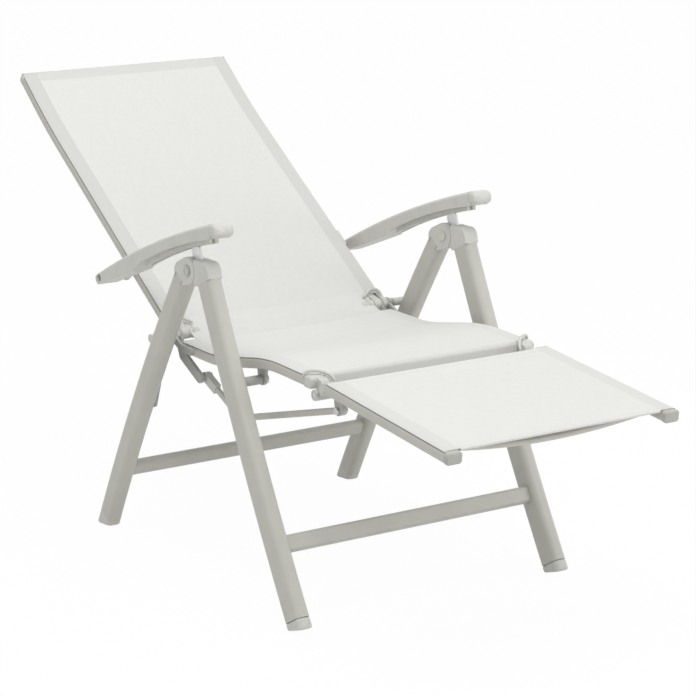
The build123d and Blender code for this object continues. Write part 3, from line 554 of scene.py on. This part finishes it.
seat_sleeve = sleeve(
    "seat_front_sleeve", seat_line, edge=seat_length + 0.001, edge_radius=0.006,
    tube_bottom=-0.0090, bow=0.0125, tuck=0.018, finish=seat_cloth, body="seat",
)
foot_sleeve = sleeve(
    "footrest_front_sleeve", foot_line, edge=foot_length - 0.003, edge_radius=0.0011,
    tube_bottom=0.0078, bow=0.0, tuck=0.022, finish=foot_cloth, body="footrest",
)
back_sleeve = sleeve(
    "back_top_sleeve", back_line, edge=back_length + 0.0008, edge_radius=0.0035,
    tube_bottom=-0.0085, bow=0.0, tuck=0.030, finish=back_cloth, body="backrest",
    reach=sling_half_width,
)

# %% [markdown]
# ## The waist
# In the photograph the cloth runs on from the seat up into the back. Two short pieces make that
# bend: the lower one lies between the seat and the cranks, the upper one between the cranks and
# the back. Both are fixed in the scene and are not tied to any body.


# %% The waist, where the seat's cloth turns up into the back's
waist_reach = 0.2070
waist_dip = 0.005
waist_lift = rail_half_height + 0.0009
waist_start = place_on(seat_line, 0.010, waist_lift)
waist_end = place_on(back_line, 0.036, waist_lift)
waist_rise = (waist_end - place_on(back_line, 0.030, waist_lift)).normalized()
waist_corner = waist_end - waist_rise * ((waist_end.y - waist_start.y) / waist_rise.y)


def waist_place(share):
    first = waist_start.lerp(waist_corner, share)
    return first.lerp(waist_corner.lerp(waist_end, share), share)


def waist(name, low, high):
    def lay(u, v):
        x = (2 * u - 1) * waist_reach
        place = waist_place(low + (high - low) * v)
        return Vector((x, place.x, place.y - waist_dip * max(0.0, 1 - (x / waist_reach) ** 2)))

    def uv_of(u, v):
        return ((2 * u - 1) * waist_reach, 0.2 + 0.1 * (low + (high - low) * v))

    piece = cloth_piece(name, 64, 20, lay, uv_of, back_cloth, None)
    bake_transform(piece)
    return piece


waist_lower = waist("waist_lower", -0.02, 0.45)
waist_upper = waist("waist_upper", 0.44, 1.0)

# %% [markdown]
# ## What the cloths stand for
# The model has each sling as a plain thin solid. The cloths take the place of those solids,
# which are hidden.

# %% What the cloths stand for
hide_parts("back_sling")
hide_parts("seat_sling")
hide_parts("footrest_sling")

# %% [markdown]
# ## Dark groove lines
# Along each rail's upper outer corner the cloth goes into a slot and is held there by a cord.
# From outside that slot is a fine dark line of shade. The shade is painted on a thin dark strip,
# bent along the rail and tilted with its rounded corner.


# %% Groove strips
strip_width = 0.0013
strip_thickness = 0.0012


def groove_strip(name, line, start, end, body):
    shape = bmesh.new()
    for side in (-1, 1):
        made = bmesh.ops.create_grid(shape, x_segments=1, y_segments=80, size=0.5)["verts"]
        for vert in made:
            outer, distance = vert.co.x + 0.5, start + (end - start) * (vert.co.y + 0.5)
            x = side * (sling_half_width - 0.0004 + strip_width * outer)
            place = place_on(line, distance, rail_half_height - 0.0002 - strip_width * outer)
            vert.co = Vector((x, place.x, place.y))
    bmesh.ops.recalc_face_normals(shape, faces=shape.faces)
    piece = placed_piece(name, shape, painted_groove_shade)
    thickened(piece, "strip_thickness", strip_thickness)
    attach(piece, body)


groove_strip("back_grooves", back_line, 0.034, back_length - 0.010, "backrest")
groove_strip("seat_grooves", seat_line, 0.016, seat_length - 0.004, "seat")
groove_strip("footrest_grooves", foot_line, 0.006, foot_length - 0.002, "footrest")

# %% [markdown]
# ## Rounded ends
# The armrest ends in a rounded plastic nose behind a fine seam, and each rail of the back in a
# small plug. Both begin as a cube cut into a grid, whose points are then pressed onto a
# rounded form: an oval section that closes along a quarter ellipse at the free end.


# %% Rounded ends
def rounded_end(shape, place, along, half_width, half_height, length, nose, squareness=4.0):
    before = len(shape.verts)
    made = bmesh.ops.create_cube(shape, size=2.0)["verts"]
    edges = {edge for vert in made for edge in vert.link_edges}
    bmesh.ops.subdivide_edges(shape, edges=list(edges), cuts=11, use_grid_fill=True)
    shape.verts.ensure_lookup_table()
    verts = shape.verts[before:]
    upward = Vector((-along.y, along.x)) if along.x > 0 else Vector((along.y, -along.x))
    for vert in verts:
        across, ahead, up = vert.co
        size = max(abs(across), abs(up), 0.0001)
        power = (abs(across / size) ** squareness + abs(up / size) ** squareness) ** (1 / squareness)
        across, up = across / power, up / power
        reach = (ahead + 1) / 2 * length
        past = max(0.0, (reach - (length - nose)) / nose)
        close = max(0.0, 1 - past ** 2) ** 0.5
        flat = max(0.0, 1 - past ** 4) ** 0.25
        spot = place + along * reach + upward * (up * half_height * close)
        vert.co = Vector((across * half_width * (0.30 + 0.70 * flat), spot.x, spot.y))
    return verts


def mirrored_ends(name, centre_x, body, node_name, **form):
    shape = bmesh.new()
    for side in (-1, 1):
        verts = rounded_end(shape, **form)
        bmesh.ops.translate(shape, verts=list(verts), vec=(side * centre_x, 0.0, 0.0))
    smoothed(shape, 0.00002)
    piece = placed_piece(name, shape, fitting_plastic)
    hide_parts(node_name)
    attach(piece, body)


arm_seam_top, arm_seam_bottom = side_point(-0.088, 0.683), side_point(-0.102, 0.658)
arm_seam = (arm_seam_top - arm_seam_bottom) / 2
arm_forward = Vector((-0.9665, 0.2566))
mirrored_ends(
    "armrest_noses", 0.280, "armrests", "armrest_caps",
    place=arm_seam_bottom + arm_seam - arm_forward * 0.004, along=arm_forward,
    half_width=0.0205, half_height=arm_seam.length * 0.95, length=0.0205, nose=0.011,
)
mirrored_ends(
    "back_plugs", rail_middle, "backrest", "back_caps",
    place=place_on(back_line, back_length - 0.014, 0.0), along=back_top_heading,
    half_width=0.0148, half_height=0.0098, length=0.0145, nose=0.004, squareness=6.0,
)
print("nose direction", arm_forward)

# %% [markdown]
# ## Hinge fittings
# Where the footrest meets the seat, the rail ends in a moulded block with a hoop over it, and
# the pin below shows a ringed cap. The back's hinge has the same hoop, and a barrel around the
# axle. Tubes such as the hoop are a flat grid rolled round a line, because a rolled grid has
# clean quads and the hoop's thickness is one number.


# %% Rolled tubes and turned barrels
hoop_radius = 0.0030
end_closing = 0.35


def finished_piece(shape, name, finish, body):
    smoothed(shape, 0.00001)
    piece = placed_piece(name, shape, finish)
    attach(piece, body)
    print(name, "faces", len(piece.data.polygons))


def rolled_tube(shape, corners, radius, steps=28, around=14):
    points = []
    for index in range(steps + 1):
        share = index / steps
        level = list(corners)
        while len(level) > 1:
            level = [first.lerp(second, share) for first, second in zip(level, level[1:])]
        points.append(level[0])
    made = bmesh.ops.create_grid(shape, x_segments=around, y_segments=steps, size=0.5)["verts"]
    for vert in made:
        turn_share, index = vert.co.x + 0.5, round((vert.co.y + 0.5) * steps)
        before, after = points[max(0, index - 1)], points[min(steps, index + 1)]
        ahead = (after - before).normalized()
        side = ahead.cross(Vector((0.0, 0.0, 1.0)))
        side = side.normalized() if side.length > 0.01 else Vector((0.0, 1.0, 0.0))
        up = side.cross(ahead)
        angle = 2 * pi * turn_share
        closing = end_closing if index in (0, steps) else 1.0
        vert.co = points[index] + (side * cos(angle) + up * sin(angle)) * radius * closing


def turned(shape, outline, centre, steps=40):
    made = bmesh.ops.create_grid(shape, x_segments=len(outline) - 1, y_segments=steps, size=0.5)["verts"]
    for vert in made:
        x, radius = outline[round((vert.co.x + 0.5) * (len(outline) - 1))]
        angle = 2 * pi * (vert.co.y + 0.5)
        vert.co = Vector((x, centre.x + radius * cos(angle), centre.y + radius * sin(angle)))


def both_sides(name, finish, body, make):
    shape = bmesh.new()
    for side in (-1, 1):
        make(shape, side)
    finished_piece(shape, name, finish, body)


def raised_ring(rim, rise, radii, axle):
    outline = [(rim, radii[0]), (rim + rise, radii[1]), (rim, radii[2])]

    def make(shape, side):
        turned(shape, [(side * x, radius) for x, radius in outline], axle)

    return make


# %% [markdown]
# ## Footrest hinge
# The seat's rail ends in a moulded block. A hoop rises over it from the outside and comes down
# on the inside, and a fine ring on the cap shows where the footrest's pin goes through. The
# ring's darker grey is painted shade of the seam around the pin.

# %% Footrest hinge
footrest_axle = side_point(-0.348, 0.423)
seat_end = place_on(seat_line, seat_length, 0.0)


def seat_hoop(shape, side):
    rear = place_on(seat_line, seat_length - 0.016, 0.009)
    high = place_on(seat_line, seat_length - 0.013, 0.0205)
    front = seat_end + Vector((-0.013, 0.0185))
    low = seat_end + Vector((-0.022, 0.000))
    rolled_tube(
        shape,
        [
            Vector((side * rail_outside, rear.x, rear.y)),
            Vector((side * 0.241, high.x, high.y)),
            Vector((side * 0.222, high.x, high.y)),
            Vector((side * 0.196, front.x, front.y)),
            Vector((side * 0.199, low.x, low.y)),
        ],
        hoop_radius,
    )


def seat_block(shape, side):
    before = len(shape.verts)
    rounded_end(
        shape, place=place_on(seat_line, seat_length - 0.014, 0.0), along=Vector((-1.0, -0.01)),
        half_width=0.0156, half_height=0.0112, length=0.023, nose=0.007, squareness=7.0,
    )
    shape.verts.ensure_lookup_table()
    bmesh.ops.translate(shape, verts=shape.verts[before:], vec=(side * rail_middle, 0.0, 0.0))


pin_ring_shade = raised_ring(0.2441, 0.0006, (0.0066, 0.0070, 0.0074), footrest_axle)
both_sides("footrest_hinge_hoops", fitting_plastic, "seat", seat_hoop)
both_sides("footrest_hinge_blocks", fitting_plastic, "seat", seat_block)
both_sides("footrest_pin_ring_shade", plate_coat_and_ring_shade, "seat", pin_ring_shade)

# %% [markdown]
# ## Back hinge
# The back's rail has the same hoop at its lower end. Around the axle sits a barrel, turned from
# an outline of distances along the axle and radii, like a piece on a lathe.

# %% Back hinge
back_axle = side_point(0.159, 0.422)


def back_hoop(shape, side):
    low = place_on(back_line, 0.010, 0.010)
    high = place_on(back_line, 0.034, 0.023)
    rolled_tube(
        shape,
        [
            Vector((side * 0.236, low.x, low.y)),
            Vector((side * 0.238, high.x, high.y)),
            Vector((side * 0.214, high.x, high.y)),
            Vector((side * 0.192, low.x, low.y + 0.008)),
        ],
        hoop_radius,
    )


def hinge_barrel(shape, side):
    outline = [
        (0.1840, 0.0), (0.1840, 0.0072), (0.1852, 0.0085), (0.1960, 0.0085), (0.1964, 0.0104),
        (0.1972, 0.0112), (0.1996, 0.0112), (0.2002, 0.0096), (0.2010, 0.0096), (0.2016, 0.0106),
        (0.2075, 0.0106), (0.2082, 0.0100), (0.2082, 0.0),
    ]
    turned(shape, [(side * x, radius) for x, radius in outline], back_axle)


both_sides("back_hinge_hoops", fitting_plastic, "backrest", back_hoop)
both_sides("back_hinge_barrels", fitting_plastic, "cranks", hinge_barrel)

# %% [markdown]
# ## Rings of the leg heads
# The round cap over the legs' pivot shows two fine rings: one on the cap, and one around it,
# where the cap meets the head. Each is a very low ridge in a darker grey, which paints the shade
# of the groove on the cap and of the seam around it.

# %% Rings of the leg heads
head_axle = side_point(0.0, 0.582)
head_ring_shade = raised_ring(0.2972, 0.0005, (0.0068, 0.0071, 0.0075), head_axle)
head_gap_shade = raised_ring(0.2953, 0.0003, (0.0100, 0.0105, 0.0111), head_axle)
both_sides("head_cap_ring_shade", plate_coat_and_ring_shade, "front_frame", head_ring_shade)
both_sides("head_cap_gap_shade", plate_coat_and_ring_shade, "front_frame", head_gap_shade)

# %% [markdown]
# ## Floor and light
# The picture is a studio shot on white: a big soft light from above and the left, and bright
# white surroundings that fill the shadows. The floor is pale and keeps a faint shadow. For
# rays that come straight from the camera, or through a reflection, it is lifted to white.


# %% Floor and backdrop
def seen_rays(tree):
    path = add_node(tree, "ShaderNodeLightPath")
    seen = combine(tree, "MAXIMUM", path.outputs["Is Camera Ray"], path.outputs["Is Glossy Ray"])
    return combine(tree, "MAXIMUM", seen, path.outputs["Is Transmission Ray"])


def white_surroundings(tree, lit_shader, lift):
    seen = seen_rays(tree)
    white = add_node(tree, "ShaderNodeEmission")
    white.inputs["Color"].default_value = (1.0, 1.0, 1.0, 1.0)
    white.inputs["Strength"].default_value = 1.0
    mix = add_node(tree, "ShaderNodeMixShader")
    tree.links.new(combine(tree, "MULTIPLY", seen, lift), mix.inputs[0])
    tree.links.new(lit_shader, mix.inputs[1])
    tree.links.new(white.outputs[0], mix.inputs[2])
    return mix.outputs[0]


floor_finish, floor_tree, floor_shader = new_finish("pale_floor", 0.9, 0.0, 0.1)
floor_shader.inputs["Base Color"].default_value = (0.86, 0.86, 0.85, 1.0)
floor_output = floor_tree.nodes["Material Output"]
floor_tree.links.new(
    white_surroundings(floor_tree, floor_shader.outputs[0], 0.965), floor_output.inputs["Surface"]
)
floor_shape = bmesh.new()
bmesh.ops.create_grid(floor_shape, x_segments=1, y_segments=1, size=30.0)
floor = placed_piece("floor", floor_shape, floor_finish)
floor.location = (0.0, 0.0, -0.0005)

# %% [markdown]
# ## World and lamps
# The world is white to the camera and dimmer for the light it gives. It is darkest on the
# photographer's left, so the near legs stand out against white. Two soft lamps, from above and
# from low on the right, make the main light and lift the far side.

# %% World and lamps
world = bpy.data.worlds.new("white_studio")
world.use_nodes = True
scene.world = world
sky = world.node_tree
background = sky.nodes["Background"]
background.inputs["Color"].default_value = (1.0, 1.0, 1.0, 1.0)
seen_sky = seen_rays(sky)
dim_side, bright_side = 0.56, 0.84
toward = add_node(sky, "ShaderNodeTexCoord")
apart = add_node(sky, "ShaderNodeSeparateXYZ")
sky.links.new(toward.outputs["Generated"], apart.inputs[0])
level = add_node(sky, "ShaderNodeMapRange")
level.inputs["From Min"].default_value, level.inputs["From Max"].default_value = -0.7, 0.5
level.inputs["To Min"].default_value, level.inputs["To Max"].default_value = dim_side, bright_side
sky.links.new(apart.outputs[0], level.inputs["Value"])
strength = combine(sky, "MAXIMUM", level.outputs["Result"], seen_sky)
sky.links.new(strength, background.inputs["Strength"])


def soft_lamp(name, place, target, size, power):
    data = bpy.data.lights.new(name, "AREA")
    data.shape = "SQUARE"
    data.size = size
    data.energy = power
    lamp = bpy.data.objects.new(name, data)
    lamp.location = place
    lamp.rotation_euler = (Vector(target) - Vector(place)).to_track_quat("-Z", "Y").to_euler()
    scene.collection.objects.link(lamp)


soft_lamp("overhead_softbox", (-0.5, -0.9, 3.6), (0.0, 0.0, 0.4), 2.6, 64.0)
soft_lamp("right_softbox", (1.7, -2.0, 0.7), (0.28, -0.3, 0.3), 0.9, 7.0)
scene.view_settings.view_transform = "Standard"
